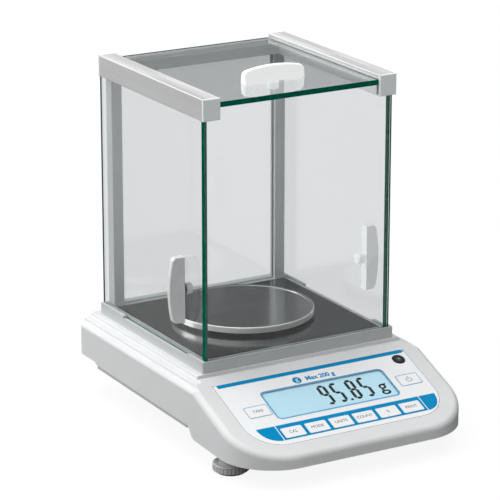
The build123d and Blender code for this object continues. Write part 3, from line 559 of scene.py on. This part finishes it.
def print_keypad():
    """The printed film: stripe, title, window border and key outlines; the band comes from print_band."""
    here = panel(0, 0, FILM_PRINT)
    top, bottom = (-s for s in STRIPE_S)
    left, neck, tip = STRIPE_X
    stripe = [(left, bottom), (neck, bottom), (tip, (top + bottom) / 2), (neck, top), (left, top)]
    flat_piece("print.stripe", [stripe], here, INK_BLUE)
    lettering("print.title", "Max 200 g", TITLE_SIZE, panel(*TITLE_PLACE, FILM_PRINT), INK_BLUE, bold=0.25)
    x, s = DOT_PLACE
    flat_piece("print.dot", [rounded_box(x, -s, DOT_SIZE, DOT_SIZE, DOT_SIZE / 2 - 0.01)], here, INK_BLUE)
    lettering("print.gram", "g", DOT_SIZE - 1.0, panel(x, s - 0.8, FILM_PRINT + INK), INK_WHITE)
    x, s, width, height = WINDOW
    border = ring(x, -s, width + 0.3, height + 0.3, WINDOW_CORNER, BORDER)
    flat_piece("print.window", border, here, INK_BORDER)
    for name in SIDE_KEYS:
        x, s, width, height = key_place(name)
        flat_piece(f"print.{name}", ring(x, -s, width + 1.6, height + 1.6, 1.6, 0.5), here, INK_BLUE)
    # The dark line just inside the film's edge is painted shade for the gap between the film and the case,
    # not print
    outline = film_outline(0.8)
    flat_piece("painted_shade.film_edge", [outline, film_outline(1.3)], here, FILM_EDGE_SHADE)


def film_outline(inset):
    """The film's outline, moved inwards by inset."""
    wide, bottom = FILM_HALF_WIDTH - inset, -FILM_BOTTOM_S + inset
    corner = FILM_CORNER - inset
    low = bottom + corner
    return ([(wide, -FILM_TOP_S - inset), (-wide, -FILM_TOP_S - inset)]
            + arc(-wide + corner, low, corner, 180, 270, 16) + arc(wide - corner, low, corner, 270, 360, 16))


def print_band():
    """The blue band, cut by two white lines, with a window for each function key."""
    top, bottom = (-s for s in BAND_S)

    def round_end(upper_x, lower_x, steps=12):
        """Points down a round end of the band: a quarter of an ellipse."""
        turns = [math.pi / 2 * step / steps for step in range(steps + 1)]
        return [(lower_x + (upper_x - lower_x) * math.cos(turn), top + (bottom - top) * math.sin(turn))
                for turn in turns]

    holes = []
    for name in FUNCTION_KEYS:
        x, s, width, height = key_place(name)
        holes.append(rounded_box(x, -s, width + 0.5, height + 0.5, 1.2))
    here = panel(0, 0, FILM_PRINT)
    line_left = [(LINE_X[0], top), (LINE_X[0] - 0.1, bottom)]
    line_right = [(LINE_X[1] + 0.1, bottom), (LINE_X[1], top)]
    flat_piece("print.band", [line_left + line_right] + holes, here, INK_BLUE)
    for end, x, reach in (("left", LINE_X[0] - LINE, BAND_LEFT_X), ("right", LINE_X[1] + LINE, BAND_RIGHT_X)):
        flat_piece(f"print.band_{end}", [[(x, top)] + round_end(*reach) + [(x, bottom)]], here, INK_BLUE)


def label_keys():
    """Plain labels that travel with their keys."""
    for name, words in (*FUNCTION_KEYS.items(), ("tare_key", "TARE")):
        x, s, _, _ = key_place(name)
        lettering(f"label.{name}", words, 4.2, panel(x, s, KEY_PRINT), INK_DARK, name)
    x, s, _, _ = key_place("power_key")
    body = "power_key"
    here = panel(0, 0, KEY_PRINT)
    outer = arc(x, -s - 0.3, 2.8, 125, 415, 28)
    inner = arc(x, -s - 0.3, 2.2, 415, 125, 28)
    flat_piece("label.power_ring", [outer + inner], here, INK_GREY, body)
    flat_piece("label.power_bar", [rounded_box(x, -s + 2.0, 0.7, 3.4, 0.2)], here, INK_GREY, body)


SEGMENTS = {"9": "abcdfg", "5": "acdfg", "8": "abcdefg"}


def digit(x, s, width, height, bar, shape):
    """The bars of one seven-segment digit whose top left corner is x, s."""
    half, gap, slope = bar / 2, 0.18, bar / 2
    left, right, top, bottom = x + half, x + width - half, -s - half, -s - height + half
    middle = (top + bottom) / 2

    def level(y):
        return [(left + gap, y), (left + gap + slope, y + half), (right - gap - slope, y + half),
                (right - gap, y), (right - gap - slope, y - half), (left + gap + slope, y - half)]

    def upright(at, low, high):
        return [(at, low + gap), (at + half, low + gap + slope), (at + half, high - gap - slope),
                (at, high - gap), (at - half, high - gap - slope), (at - half, low + gap + slope)]

    bars = {"a": level(top), "g": level(middle), "d": level(bottom),
            "f": upright(left, middle, top), "b": upright(right, middle, top),
            "e": upright(left, bottom, middle), "c": upright(right, bottom, middle)}
    return [bars[letter] for letter in SEGMENTS[shape]]


def show_reading():
    """The reading on the liquid-crystal cell: 95.85 g."""
    outlines = []
    for x, shape in zip(DIGIT_X, "9585"):
        outlines += digit(x, DIGIT_TOP_S, *DIGIT_SIZE, DIGIT_BAR, shape)
    x, s = POINT_PLACE
    outlines.append(rounded_box(x, -s, POINT_SIZE, POINT_SIZE, 0.3))
    flat_piece("reading.digits", outlines, panel(0, 0, LCD_TOP + HOVER), LCD_INK)
    lettering("reading.unit", "g", UNIT_SIZE, panel(*UNIT_PLACE, LCD_TOP + HOVER), LCD_INK,
              bold=0.2)


def fill_level():
    """The spirit level's ring mark and bubble, just above its lens."""
    x, s = LEVEL_PLACE
    here = panel(0, 0, LENS_TOP + 0.01)
    mark = ring(x, -s, LEVEL_MARK, LEVEL_MARK, LEVEL_MARK / 2 - 0.01, 0.25)
    bubble = rounded_box(x + 0.5, -s + 0.4, BUBBLE, BUBBLE, BUBBLE / 2 - 0.01)
    flat_piece("level.mark", mark, here, INK_GREY)
    flat_piece("level.bubble", [bubble], here, MATERIALS["level_shine"])


dress_nodes()
dress_panes()
dress_pan()
print_keypad()
print_band()
label_keys()
show_reading()
fill_level()

add_camera()
add_world()
add_floor()
add_area_light("light.key", (-0.6, 0.5, 2.2), 1.2, 6.0)
add_area_light("light.side", (-1.0, 0.75, 0.6), 0.6, 5.0, mirrored=False)
bpy.context.scene.view_settings.view_transform = "Standard"
